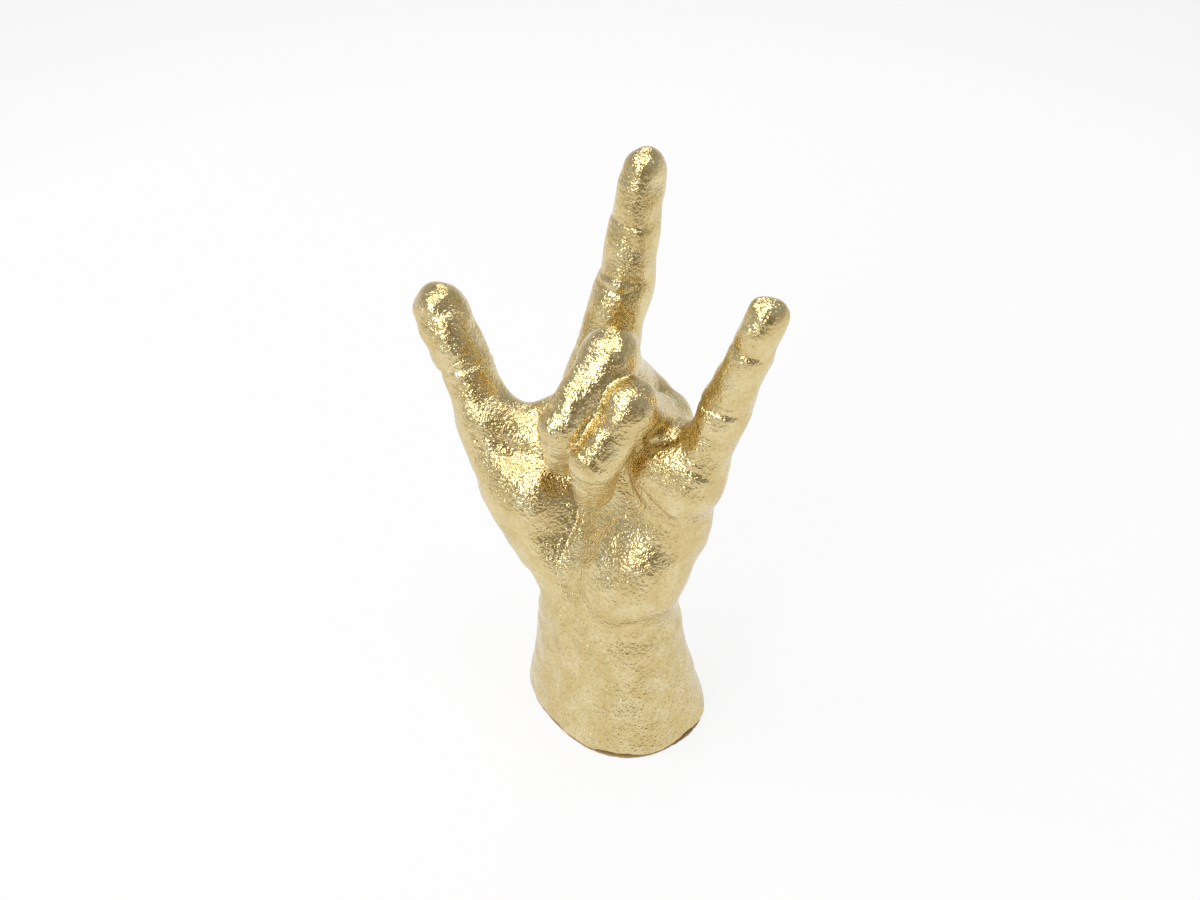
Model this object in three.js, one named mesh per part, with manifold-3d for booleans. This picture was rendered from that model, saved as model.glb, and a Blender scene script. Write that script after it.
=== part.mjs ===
// Gilded cast-resin hand that stands on its cut wrist. The thumb, the index and the little finger are raised,
// and the middle and ring fingers are folded to the palm. The palm and the five fingers are separate
// castings, glued over steel pins. The wrist is a shell round a plaster core, closed by a plate with a felt
// pad under it.
//
// Millimetres, +Z up. The origin is the middle of the felt's underside. The palm faces -Y, and the thumb
// points to -X.
import * as THREE from 'three';
import { mergeVertices } from 'three/addons/utils/BufferGeometryUtils.js';
import Module from 'manifold-3d';

const wasm = await Module();
wasm.setup();

// Driving dimensions
const GLUE_GAP = 0.3; // film of adhesive between two castings, and clearance round the pieces inside
const FELT_THICKNESS = 0.8;
const FELT_INSET = 3;
const PLATE_THICKNESS = 4;
const SHELL_WALL = 7;
const CORE_ABOVE_WRIST = 5;
const PIN_DIAMETER = 4;
const PIN_IN_PALM = 11;
const PIN_IN_FINGER = 15;

// The hand is sized from its length, wrist joint to tip of the index finger. It is bent back at the wrist
// joint, which is placed from the middle of the base.
const HAND_LENGTH = 164;
const WRIST_HEIGHT = 47;
const WRIST_FORWARD = 2;
const WRIST_ACROSS = -2.2;
const HAND_LEAN = 16.4;

// The tables below give places and sizes as shares of the hand's length, and turns in degrees.

// Oval sections of the forearm, placed by their share of the way up to the wrist joint, and of the palm's
// core, placed along the leaning hand above that joint. Forward is towards the palm's side.
const FOREARM_SECTIONS = [
  { up: 0, across: 0, forward: 0, width: 0.418, depth: 0.36, turn: -11 },
  { up: 0.298, across: -0.006, forward: 0, width: 0.378, depth: 0.317, turn: -9 },
  { up: 0.638, across: -0.012, forward: 0.006, width: 0.348, depth: 0.28, turn: -6 },
  { up: 0.936, across: -0.015, forward: 0.006, width: 0.326, depth: 0.253, turn: -3 },
];
const PALM_SECTIONS = [
  { up: 0.055, across: -0.024, forward: 0.003, width: 0.287, depth: 0.21, turn: 0 },
  { up: 0.128, across: -0.022, forward: 0.003, width: 0.305, depth: 0.189, turn: 0 },
  { up: 0.226, across: -0.013, forward: 0.003, width: 0.354, depth: 0.168, turn: 0 },
  { up: 0.348, across: -0.007, forward: 0, width: 0.329, depth: 0.137, turn: 0 },
  { up: 0.445, across: -0.007, forward: -0.006, width: 0.268, depth: 0.079, turn: 0 },
];
const BODY_SIDES = 36;
const BODY_STEPS = 24;
const BODY_SQUARENESS = 2.5;

// Fingers. A knuckle is placed in the hand: across to the little finger's side, up from the wrist joint, and
// forward out of the palm. Splay leans a finger across, and bends turn its three joints towards the palm.
// Radii are taken at the knuckle, the two joints and the tip. The seam is measured from the knuckle.
const FINGERS = {
  index: {
    carpal: [-0.073, 0.085, 0],
    knuckle: [-0.126, 0.475, -0.002],
    splay: 0.7,
    bends: [-3.8, 3.4, 2],
    lengths: [0.231, 0.135, 0.113],
    radii: [0.075, 0.06, 0.053, 0.047],
    seam: 0.091,
  },
  middle: {
    carpal: [-0.024, 0.073, -0.006],
    knuckle: [-0.052, 0.479, -0.043],
    splay: 9.8,
    bends: [52.6, 96.4, 62.9],
    lengths: [0.241, 0.148, 0.122],
    radii: [0.051, 0.057, 0.052, 0.039],
    seam: 0.073,
  },
  ring: {
    carpal: [0.024, 0.073, 0],
    knuckle: [0.041, 0.46, -0.029],
    splay: 15.7,
    bends: [63.1, 96, 50],
    lengths: [0.227, 0.129, 0.115],
    radii: [0.05, 0.056, 0.054, 0.045],
    seam: 0.067,
  },
  little: {
    carpal: [0.064, 0.082, 0.018],
    knuckle: [0.163, 0.41, 0.049],
    splay: 13.6,
    bends: [4.5, -0.5, 2],
    lengths: [0.185, 0.126, 0.099],
    radii: [0.056, 0.053, 0.049, 0.043],
    seam: 0.079,
  },
};
const CARPAL_RADIUS = 0.085;

// The thumb's three lengths each have their own heading: splay in the palm's plane and rise out of it
const THUMB = {
  root: [-0.127, 0.104, 0.055],
  splays: [-42.5, -34.5, -36.5],
  rises: [4.9, 3.5, 4.9],
  lengths: [0.268, 0.174, 0.133],
  radii: [0.082, 0.075, 0.059, 0.06],
  seam: 0.049,
};

// Muscle and fat that round the palm out, as ovals: centre and half-sizes across, up and forward, and a turn
// in the palm's plane. They run into each other and into the core, over the width of the blend.
const MOUNDS = {
  ballOfThumb: { centre: [-0.226, 0.226, 0.055], half: [0.098, 0.113, 0.11], turn: 42 },
  innerBall: { centre: [-0.183, 0.195, 0.046], half: [0.098, 0.122, 0.098], turn: 25 },
  thumbFoot: { centre: [-0.14, 0.116, 0.043], half: [0.088, 0.091, 0.085], turn: 20 },
  palmFloor: { centre: [-0.006, 0.177, 0.024], half: [0.091, 0.137, 0.082], turn: 0 },
  heel: { centre: [0.085, 0.168, 0.058], half: [0.094, 0.116, 0.082], turn: 8 },
  heelFoot: { centre: [0.067, 0.107, 0.061], half: [0.079, 0.076, 0.076], turn: 0 },
  palmMiddle: { centre: [0.104, 0.293, 0.03], half: [0.094, 0.094, 0.073], turn: -15 },
  littlePad: { centre: [0.137, 0.387, 0.067], half: [0.082, 0.085, 0.076], turn: -20 },
  palmHollow: { centre: [-0.049, 0.366, 0.027], half: [0.113, 0.128, 0.07], turn: 0 },
  indexPad: { centre: [-0.122, 0.39, 0.037], half: [0.073, 0.082, 0.055], turn: 4 },
};
const MOUND_BLEND = 0.055;

// Pads at the roots of the ring and the little finger, which stand up past the palm's core
const ROOT_PADS = {
  ringPad: { centre: [0.079, 0.415, 0.064], half: [0.07, 0.076, 0.067], turn: -8 },
  littleWeb: { centre: [0.11, 0.442, 0.049], half: [0.079, 0.067, 0.073], turn: 0 },
};

// The furrow between the ball of the thumb and the heel, pressed into the palm along the life line
const FURROW = {
  way: [
    [-0.11, 0.329, 0.152],
    [-0.085, 0.25, 0.159],
    [-0.079, 0.146, 0.174],
    [-0.073, 0.049, 0.183],
  ],
  radius: 0.067,
};

// Folds of the web between thumb and index: share of the way along the thumb's root and along the index's
// palm bone, and the fold's radius at either end
const WEB_FOLDS = [
  { thumb: 0.55, index: 0.4, radii: [0.079, 0.079] },
  { thumb: 0.8, index: 0.65, radii: [0.067, 0.067] },
  { thumb: 0.95, index: 0.82, radii: [0.055, 0.055] },
  { thumb: 1.06, index: 0.96, radii: [0.043, 0.043] },
];

const JOINT_STEP = 0.98; // start of a finger length, as a share of the round end before it
const WRIST_BEND_REACH = 0.122; // the lean comes in over this height on either side of the wrist joint

// Facets
const FINGER_SIDES = 12;
const CAP_STEPS = 4;
const MOUND_SIDES = 14;
const MOUND_RINGS = 10;
const PIN_SIDES = 12;
const REACH = 4; // longer than the whole hand

// Finishes
const GILT = { color: 0xd9c07a, roughness: 0.32, metalness: 1 };
const STEEL = { color: 0x9a9c9e, roughness: 0.4, metalness: 1 };
const PLASTER = { color: 0xe8e4da, roughness: 0.9, metalness: 0 };
const FIBREBOARD = { color: 0x8a6a48, roughness: 0.8, metalness: 0 };
const FELT = { color: 0x2e2620, roughness: 0.95, metalness: 0 };

// Sizes that follow from those above
const CORE_TOP = WRIST_HEIGHT + CORE_ABOVE_WRIST;
const BODY_BOTTOM = FELT_THICKNESS + GLUE_GAP;
const PIN_HOLE = PIN_DIAMETER + 2 * GLUE_GAP;
const PIN_LENGTH = PIN_IN_PALM + PIN_IN_FINGER;

const turn = THREE.MathUtils.degToRad;
const ofHand = (share) => share * HAND_LENGTH;

// The hand's own axes, leaning back from the wrist joint
const ACROSS = new THREE.Vector3(1, 0, 0);
const UP = new THREE.Vector3(0, Math.sin(turn(HAND_LEAN)), Math.cos(turn(HAND_LEAN)));
const FORWARD = new THREE.Vector3(0, -Math.cos(turn(HAND_LEAN)), Math.sin(turn(HAND_LEAN)));
const WRIST = new THREE.Vector3(WRIST_ACROSS, -WRIST_FORWARD, WRIST_HEIGHT);

// A point given in the hand's axes
function inHand(shares) {
  const [across, up, forward] = shares.map(ofHand);
  const inPalm = WRIST.clone().addScaledVector(ACROSS, across).addScaledVector(UP, up);
  return inPalm.addScaledVector(FORWARD, forward);
}

// A direction that leans across by the splay and rises out of the palm
function heading(splay, rise) {
  const flat = UP.clone().multiplyScalar(Math.cos(turn(splay)));
  flat.addScaledVector(ACROSS, Math.sin(turn(splay)));
  return flat.multiplyScalar(Math.cos(turn(rise))).addScaledVector(FORWARD, Math.sin(turn(rise)));
}

// The joints of a finger, one length after another
function chain(start, headings, lengths) {
  const joints = [start];
  lengths.forEach((length, i) => {
    joints.push(joints[i].clone().addScaledVector(headings[i], length));
  });
  return joints;
}

function fingerJoints({ knuckle, splay, bends, lengths }) {
  let bend = 0;
  const headings = bends.map((angle) => {
    bend += angle;
    return heading(splay, bend);
  });
  return chain(inHand(knuckle), headings, lengths.map(ofHand));
}

function thumbJoints({ root, splays, rises, lengths }) {
  const headings = splays.map((splay, i) => heading(splay, rises[i]));
  return chain(inHand(root), headings, lengths.map(ofHand));
}

// A closed solid from a geometry's triangles, and back again
function solid(geometry) {
  const bare = geometry.clone();
  bare.deleteAttribute('normal');
  bare.deleteAttribute('uv');
  const merged = mergeVertices(bare, 1e-4);
  const mesh = new wasm.Mesh({
    numProp: 3,
    vertProperties: merged.attributes.position.array,
    triVerts: new Uint32Array(merged.index.array),
  });
  return new wasm.Manifold(mesh);
}

function geometryOf(manifold) {
  const mesh = manifold.getMesh();
  return new THREE.BufferGeometry()
    .setAttribute('position', new THREE.BufferAttribute(mesh.vertProperties, 3))
    .setIndex(new THREE.BufferAttribute(mesh.triVerts, 1));
}

const joined = (solids) => solids.reduce((sum, next) => sum.add(next));

// Turns a shape that runs along +Y so that it runs from a point along a direction
function stood(geometry, point, along) {
  const spin = new THREE.Quaternion().setFromUnitVectors(new THREE.Vector3(0, 1, 0), along);
  return geometry.applyMatrix4(new THREE.Matrix4().compose(point, spin, new THREE.Vector3(1, 1, 1)));
}

// A round-ended length of flesh from one joint to the next
function bone(from, to, startRadius, endRadius) {
  const length = from.distanceTo(to);
  const start = [];
  const end = [];
  for (let i = 0; i <= CAP_STEPS; i++) {
    const angle = (i / CAP_STEPS) * (Math.PI / 2);
    start.push(new THREE.Vector2(startRadius * Math.sin(angle), -startRadius * Math.cos(angle)));
    end.unshift(new THREE.Vector2(endRadius * Math.sin(angle), length + endRadius * Math.cos(angle)));
  }
  const lathe = new THREE.LatheGeometry([...start, ...end], FINGER_SIDES);
  return solid(stood(lathe, from, to.clone().sub(from).normalize()));
}

// A finger's lengths in a row. Each starts a little thinner than the one before ends, inside its round end.
function boneChain(joints, radii, grow = 0) {
  return joints.slice(1).map((joint, i) => {
    const startShare = i === 0 ? 1 : JOINT_STEP;
    return bone(joints[i], joint, radii[i] * startShare + grow, radii[i + 1] + grow);
  });
}

// A straight round rod from a point along a direction
function rod(start, along, radius, length) {
  const cylinder = new THREE.CylinderGeometry(radius, radius, length, PIN_SIDES).translate(0, length / 2, 0);
  return stood(cylinder, start, along);
}

// Everything on the far side of a plane through a point, square to a direction
function beyond(point, along) {
  const reach = ofHand(REACH);
  const half = new THREE.BoxGeometry(reach, reach, reach).translate(0, reach / 2, 0);
  return solid(stood(half, point, along));
}

// An oval set in the hand's axes
function mound({ centre, half, turn: angle }) {
  const oval = new THREE.SphereGeometry(1, MOUND_SIDES, MOUND_RINGS);
  oval.scale(...half.map(ofHand));
  oval.rotateZ(turn(angle));
  oval.applyMatrix4(new THREE.Matrix4().makeBasis(ACROSS, UP, FORWARD).setPosition(inHand(centre)));
  return solid(oval);
}

// How far a mound reaches along a ray, or nothing where the ray passes it by
function moundReach({ centre, half, turn: angle }, from, ray) {
  const inMound = (vector) => {
    const own = new THREE.Vector3(vector.dot(ACROSS), vector.dot(UP), vector.dot(FORWARD));
    own.applyAxisAngle(new THREE.Vector3(0, 0, 1), -turn(angle));
    return own.divide(new THREE.Vector3(...half.map(ofHand)));
  };
  const start = inMound(from.clone().sub(inHand(centre)));
  const step = inMound(ray);
  const nearest = -start.dot(step) / step.lengthSq();
  const beside = start.clone().addScaledVector(step, nearest).lengthSq();
  return beside < 1 ? nearest + Math.sqrt((1 - beside) / step.lengthSq()) : 0;
}

// The greater of two reaches, with the corner between them rounded
function blended(one, other) {
  const width = ofHand(MOUND_BLEND);
  const share = Math.max(width - Math.abs(one - other), 0) / width;
  return Math.max(one, other) + (share * share * width) / 4;
}

// Forearm and palm: a loft through the oval sections, rounded out by the mounds, or drawn in by an inset for
// what lies in the shell
const forearmHeights = FOREARM_SECTIONS.map(({ up }) => up * WRIST_HEIGHT);
const palmHeights = PALM_SECTIONS.map(({ up }) => WRIST_HEIGHT + ofHand(up));
const sectionHeights = [...forearmHeights, ...palmHeights];
const sectionValues = [...FOREARM_SECTIONS, ...PALM_SECTIONS].map((section) => {
  const sizes = [section.across, section.forward, section.width / 2, section.depth / 2];
  return [...sizes.map(ofHand), section.turn];
});
const sectionAt = new THREE.CubicInterpolant(sectionHeights, sectionValues.flat(), sectionValues[0].length);
const BODY_TOP = sectionHeights.at(-1);

function bodyRing(height, inset) {
  const [across, forward, halfWidth, halfDepth, angleTurned] = sectionAt.evaluate(height);
  const up = height - WRIST_HEIGHT;
  const bendReach = ofHand(WRIST_BEND_REACH);
  const bent = THREE.MathUtils.smoothstep(up, -bendReach, bendReach);
  const lean = turn(HAND_LEAN) * bent;
  const out = new THREE.Vector3(0, -Math.cos(lean), Math.sin(lean));
  const middle = new THREE.Vector3(0, 0, height);
  if (up > 0) middle.set(0, 0, WRIST_HEIGHT).addScaledVector(UP, up);
  middle.addScaledVector(ACROSS, across).addScaledVector(out, forward);
  const ring = [];
  for (let i = 0; i < BODY_SIDES; i++) {
    const angle = (i / BODY_SIDES) * 2 * Math.PI;
    const round = (share) => Math.sign(share) * Math.abs(share) ** (2 / BODY_SQUARENESS);
    const x = (halfWidth - inset) * round(Math.cos(angle));
    const y = (halfDepth - inset) * round(Math.sin(angle));
    const spot = new THREE.Vector2(x, y).rotateAround(new THREE.Vector2(), turn(angleTurned));
    const ray = new THREE.Vector3().addScaledVector(ACROSS, spot.x).addScaledVector(out, -spot.y);
    let reach = ray.length();
    ray.normalize();
    if (inset === 0) {
      for (const oval of Object.values(MOUNDS)) reach = blended(reach, moundReach(oval, middle, ray));
    }
    ring.push(middle.clone().addScaledVector(ray, reach));
  }
  return ring;
}

// A closed solid through the rings from one height to another
function bodyLoft(bottom, top, inset) {
  const steps = Math.max(2, Math.round((BODY_STEPS * (top - bottom)) / BODY_TOP));
  const points = [];
  const triangles = [];
  for (let step = 0; step <= steps; step++) {
    const height = bottom + ((top - bottom) * step) / steps;
    points.push(...bodyRing(height, inset).flatMap((point) => point.toArray()));
  }
  const at = (step, side) => step * BODY_SIDES + (side % BODY_SIDES);
  for (let step = 0; step < steps; step++) {
    for (let side = 0; side < BODY_SIDES; side++) {
      triangles.push(at(step, side), at(step, side + 1), at(step + 1, side + 1));
      triangles.push(at(step, side), at(step + 1, side + 1), at(step + 1, side));
    }
  }
  for (let side = 1; side < BODY_SIDES - 1; side++) {
    triangles.push(at(0, 0), at(0, side + 1), at(0, side));
    triangles.push(at(steps, 0), at(steps, side), at(steps, side + 1));
  }
  const loft = new THREE.BufferGeometry();
  loft.setAttribute('position', new THREE.BufferAttribute(new Float32Array(points), 3));
  loft.setIndex(triangles);
  return solid(loft);
}

// The fingers' castings, each cut off square at its seam and cleared of those set before it. The lengths
// below the seam stay with the palm.
const { index, little, middle, ring } = FINGERS;
const glueOrder = { thumb: THUMB, index, little, middle, ring };
const castings = {};
const palmParts = [bodyLoft(BODY_BOTTOM, BODY_TOP, 0)];
const palmCuts = [];
for (const [name, finger] of Object.entries(glueOrder)) {
  const joints = name === 'thumb' ? thumbJoints(THUMB) : fingerJoints(finger);
  const cutBone = name === 'thumb' ? 1 : 0;
  const along = joints[cutBone + 1].clone().sub(joints[cutBone]).normalize();
  const seam = joints[cutBone].clone().addScaledVector(along, ofHand(finger.seam));
  const aboveSeam = (bones, gap) => {
    const start = seam.clone().addScaledVector(along, gap);
    return joined([bones[cutBone].intersect(beyond(start, along)), ...bones.slice(cutBone + 1)]);
  };
  const radii = finger.radii.map(ofHand);
  const bones = boneChain(joints, radii);
  const pinStart = seam.clone().addScaledVector(along, -PIN_IN_PALM);
  const holeStart = seam.clone().addScaledVector(along, -PIN_IN_PALM - GLUE_GAP);
  const pinHole = solid(rod(holeStart, along, PIN_HOLE / 2, PIN_LENGTH + 2 * GLUE_GAP));
  let casting = aboveSeam(bones, GLUE_GAP).subtract(pinHole);
  for (const { cleared } of palmCuts) casting = casting.subtract(cleared);
  castings[name] = { casting, pin: rod(pinStart, along, PIN_DIAMETER / 2, PIN_LENGTH) };
  palmParts.push(...bones.slice(0, cutBone), bones[cutBone].subtract(beyond(seam, along)));
  palmCuts.push({ cleared: aboveSeam(boneChain(joints, radii, GLUE_GAP), 0), pinHole });
}

for (const { carpal, knuckle, radii } of Object.values(FINGERS)) {
  palmParts.push(bone(inHand(carpal), inHand(knuckle), ofHand(CARPAL_RADIUS), ofHand(radii[0])));
}
for (const oval of Object.values(ROOT_PADS)) palmParts.push(mound(oval));
const thumbRoot = thumbJoints(THUMB);
for (const fold of WEB_FOLDS) {
  const from = thumbRoot[0].clone().lerp(thumbRoot[1], fold.thumb);
  const to = inHand(index.carpal).lerp(inHand(index.knuckle), fold.index);
  palmParts.push(bone(from, to, ...fold.radii.map(ofHand)));
}
const furrowWay = FURROW.way.map(inHand);
const furrow = boneChain(furrowWay, furrowWay.map(() => ofHand(FURROW.radius)));
let palm = joined(palmParts).subtract(joined(furrow));
for (const { cleared, pinHole } of palmCuts) palm = palm.subtract(cleared).subtract(pinHole);
palm = palm.subtract(bodyLoft(BODY_BOTTOM - GLUE_GAP, CORE_TOP + GLUE_GAP, SHELL_WALL));

const whole = new THREE.Group();
whole.name = 'hand_sculpture';
function place(name, geometry, finish) {
  const mesh = new THREE.Mesh(geometry, new THREE.MeshStandardMaterial(finish));
  mesh.name = name;
  whole.add(mesh);
}

place('palm_casting', geometryOf(palm), GILT);
for (const [name, { casting, pin }] of Object.entries(castings)) {
  place(name === 'thumb' ? 'thumb_casting' : `${name}_finger_casting`, geometryOf(casting), GILT);
  place(`${name}_pin`, pin, STEEL);
}
const plateTop = BODY_BOTTOM + PLATE_THICKNESS;
const insideShell = SHELL_WALL + GLUE_GAP;
place('base_plate', geometryOf(bodyLoft(BODY_BOTTOM, plateTop, insideShell)), FIBREBOARD);
place('plaster_core', geometryOf(bodyLoft(plateTop + GLUE_GAP, CORE_TOP, insideShell)), PLASTER);
place('base_felt', geometryOf(bodyLoft(0, FELT_THICKNESS, FELT_INSET)), FELT);

export default whole;
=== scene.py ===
# Gilded hand sculpture that stands on its cut wrist. The thumb, the index and the little finger are raised,
# and the middle and ring fingers are folded to the palm. Metres, +Z up, the palm faces -Y and the thumb -X.
import math

import bmesh
import bpy
import numpy as np
import openvdb
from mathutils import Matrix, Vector


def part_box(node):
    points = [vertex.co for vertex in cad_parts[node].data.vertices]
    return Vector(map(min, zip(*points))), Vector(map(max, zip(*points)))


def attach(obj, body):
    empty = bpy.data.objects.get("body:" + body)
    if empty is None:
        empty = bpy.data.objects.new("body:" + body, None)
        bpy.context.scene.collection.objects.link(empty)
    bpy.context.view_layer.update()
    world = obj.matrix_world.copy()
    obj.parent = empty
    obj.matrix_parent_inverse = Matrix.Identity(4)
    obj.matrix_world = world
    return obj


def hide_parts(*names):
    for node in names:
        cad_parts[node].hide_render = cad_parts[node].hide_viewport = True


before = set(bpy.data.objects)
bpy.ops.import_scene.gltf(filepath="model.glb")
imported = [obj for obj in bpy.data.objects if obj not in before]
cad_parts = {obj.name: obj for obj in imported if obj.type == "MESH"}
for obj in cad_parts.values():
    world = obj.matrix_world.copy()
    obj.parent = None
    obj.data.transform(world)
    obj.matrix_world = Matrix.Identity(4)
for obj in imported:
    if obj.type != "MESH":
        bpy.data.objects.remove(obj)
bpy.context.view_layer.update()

# Felt pad
# A pad of pressed wool felt, cut with a knife to the outline of the wrist and glued under it, so that the
# sculpture doesn't scratch a table. Its edge is seen as a thin brown line.


def linear(hex_colour):
    """A colour written as sRGB hex, as the linear value that a shader takes."""
    shares = [int(hex_colour[i : i + 2], 16) / 255 for i in (1, 3, 5)]
    return [s / 12.92 if s <= 0.04045 else ((s + 0.055) / 1.055) ** 2.4 for s in shares] + [1.0]


def add(owner, kind, settings, links):
    """Adds a node to a material or the room. Settings set its properties or inputs, and links feed them."""
    node = owner.node_tree.nodes.new(kind)
    for name, value in settings.items():
        if isinstance(name, str) and hasattr(node, name):
            setattr(node, name, value)
        else:
            node.inputs[name].default_value = value
    for name, socket in links.items():
        owner.node_tree.links.new(socket, node.inputs[name])
    return node


def bare(name):
    """A new material with its surface shader, and the place of each point on the piece in millimetres."""
    material = bpy.data.materials.new(name)
    material.use_nodes = True
    surface = material.node_tree.nodes["Principled BSDF"]
    where = add(material, "ShaderNodeTexCoord", {}, {})
    in_mm = add(
        material,
        "ShaderNodeVectorMath",
        {"operation": "SCALE", "Scale": 1000.0},
        {0: where.outputs["Object"]},
    )
    return material, surface, in_mm.outputs[0]


def cover(surface, colour, bump):
    """Feeds a colour and a bump to a surface shader."""
    tree = surface.id_data
    tree.links.new(colour, surface.inputs["Base Color"])
    tree.links.new(bump, surface.inputs["Normal"])


# Pressed wool felt: matt, tan, with short fibres that break its surface up.
felt_material, felt_surface, felt_place = bare("Pressed wool felt")
fibre_width = 0.5
fibres = add(
    felt_material,
    "ShaderNodeTexNoise",
    {"Scale": 1 / fibre_width, "Detail": 4.0},
    {"Vector": felt_place},
)
felt_colour = add(
    felt_material,
    "ShaderNodeMix",
    {"data_type": "RGBA", 6: linear("#a38a58"), 7: linear("#d0b67e")},
    {0: fibres.outputs["Fac"]},
)
felt_bump = add(
    felt_material,
    "ShaderNodeBump",
    {"Strength": 0.6, "Distance": 0.0003},
    {"Height": fibres.outputs["Fac"]},
)
felt_surface.inputs["Roughness"].default_value = 0.95
felt_surface.inputs["Sheen Weight"].default_value = 0.3
cover(felt_surface, felt_colour.outputs[2], felt_bump.outputs[0])

# The pad follows the oval of the wrist's lower end, a little inside it, and its cut edge is slightly uneven.
# Its rings are given by their share of its thickness, and by how far the edge is drawn in there.
felt_thickness = 1000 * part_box("base_felt")[1][2]
felt_inset = 1.6
knife_slip = 0.06
felt_rings = ((0.0, 0.2), (0.2, 0.0), (0.8, 0.0), (1.0, 0.25))
base_centre = np.array([-2.0, 1.9])
base_width, base_depth = 72.0, 59.4
base_turn = math.radians(-19)
base_squareness = 2.35
corners = 160
angles = np.linspace(0, 2 * math.pi, corners, endpoint=False)
oval_x = np.sign(np.cos(angles)) * np.abs(np.cos(angles)) ** (2 / base_squareness)
oval_y = np.sign(np.sin(angles)) * np.abs(np.sin(angles)) ** (2 / base_squareness)
uneven = np.random.default_rng(3).normal(0, knife_slip, corners)
felt_points = []
for height, drawn_in in felt_rings:
    less = felt_inset + drawn_in + uneven
    a = oval_x * (base_width / 2 - less)
    b = oval_y * (base_depth / 2 - less)
    x = base_centre[0] + a * math.cos(base_turn) - b * math.sin(base_turn)
    y = base_centre[1] + a * math.sin(base_turn) + b * math.cos(base_turn)
    felt_points += [(x[i] / 1000, y[i] / 1000, height * felt_thickness / 1000) for i in range(corners)]
last_ring = len(felt_rings) - 1
underside = tuple(range(corners))[::-1]
upper_side = tuple(range(last_ring * corners, (last_ring + 1) * corners))
felt_faces = [underside, upper_side]
for ring in range(last_ring):
    low, high = ring * corners, (ring + 1) * corners
    for i in range(corners):
        ahead = (i + 1) % corners
        felt_faces.append((low + i, low + ahead, high + ahead, high + i))
felt_mesh = bpy.data.meshes.new("felt_pad")
felt_mesh.from_pydata(felt_points, [], felt_faces)
felt_mesh.materials.append(felt_material)
felt_pad = bpy.data.objects.new("felt_pad", felt_mesh)
bpy.context.scene.collection.objects.link(felt_pad)
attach(felt_pad, "root")
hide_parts("base_felt")

# Base plate
# A plate of brown fibreboard, sawn to the inside of the wrist and glued across its lower end. It closes the
# hollow and gives the felt a flat face to hold on to.


def finish(node, material):
    """Puts a material on a CAD node."""
    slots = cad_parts[node].data.materials
    slots.clear()
    slots.append(material)


# Sawn fibreboard: matt, mid brown, with pale and dark fibres pressed flat.
board_material, board_surface, board_place = bare("Sawn fibreboard")
fleck_width = 1.5
flecks = add(
    board_material,
    "ShaderNodeTexNoise",
    {"Scale": 1 / fleck_width, "Detail": 5.0, "Roughness": 0.65},
    {"Vector": board_place},
)
board_colour = add(
    board_material,
    "ShaderNodeMix",
    {"data_type": "RGBA", 6: linear("#6b4f35"), 7: linear("#9a7a55")},
    {0: flecks.outputs["Fac"]},
)
board_bump = add(
    board_material,
    "ShaderNodeBump",
    {"Strength": 0.5, "Distance": 0.0002},
    {"Height": flecks.outputs["Fac"]},
)
board_surface.inputs["Roughness"].default_value = 0.85
cover(board_surface, board_colour.outputs[2], board_bump.outputs[0])
finish("base_plate", board_material)

# Plaster core
# A plug of plaster, poured into the hollow wrist and scraped level before the plate goes on. It puts the
# weight low, so that the sculpture doesn't tip over.

# Poured plaster: chalky, off-white, with the small round pores of trapped air, sunk by a bump and painted
# darker inside as shade.
plaster_material, plaster_surface, plaster_place = bare("Poured plaster")
pore_spacing = 1.2
pores = add(
    plaster_material,
    "ShaderNodeTexVoronoi",
    {"Scale": 1 / pore_spacing},
    {"Vector": plaster_place},
)
pore_depth_and_shade = add(
    plaster_material,
    "ShaderNodeMapRange",
    {"From Min": 0.05, "From Max": 0.3},
    {"Value": pores.outputs["Distance"]},
)
# Painted shade: the pore depth also darkens the colour in the pores
plaster_colour = add(
    plaster_material,
    "ShaderNodeMix",
    {"data_type": "RGBA", 6: linear("#c4beb2"), 7: linear("#e6e1d6")},
    {0: pore_depth_and_shade.outputs[0]},
)
plaster_bump = add(
    plaster_material,
    "ShaderNodeBump",
    {"Strength": 0.7, "Distance": 0.0003},
    {"Height": pore_depth_and_shade.outputs[0]},
)
plaster_surface.inputs["Roughness"].default_value = 0.9
cover(plaster_surface, plaster_colour.outputs[2], plaster_bump.outputs[0])
finish("plaster_core", plaster_material)

# Steel pins
# Five cut lengths of 4 mm steel rod, glued into holes in the palm and in the thumb and fingers. They hold
# each casting in line while the glue sets.
pins = ["thumb_pin", "index_pin", "middle_pin", "ring_pin", "little_pin"]

# Drawn steel rod: grey metal, bright, with fine scratches from the die that dull it in places.
steel_material, steel_surface, steel_place = bare("Drawn steel rod")
scratch_width = 0.4
scratches = add(
    steel_material,
    "ShaderNodeTexNoise",
    {"Scale": 1 / scratch_width, "Detail": 3.0, "Distortion": 1.5},
    {"Vector": steel_place},
)
steel_colour = add(
    steel_material,
    "ShaderNodeMix",
    {"data_type": "RGBA", 6: linear("#8d8c8a"), 7: linear("#b5b4b0")},
    {0: scratches.outputs["Fac"]},
)
steel_bump = add(
    steel_material,
    "ShaderNodeBump",
    {"Strength": 0.3, "Distance": 0.00005},
    {"Height": scratches.outputs["Fac"]},
)
steel_surface.inputs["Metallic"].default_value = 1.0
steel_surface.inputs["Roughness"].default_value = 0.3
cover(steel_surface, steel_colour.outputs[2], steel_bump.outputs[0])
for pin in pins:
    finish(pin, steel_material)

# Gilded castings
# Palm and wrist, thumb and four fingers, each cast in resin from one carved model, parted at the seams. They
# are glued over steel pins, filled and rubbed down, and covered in gold leaf that crinkles as it dries.

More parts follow.
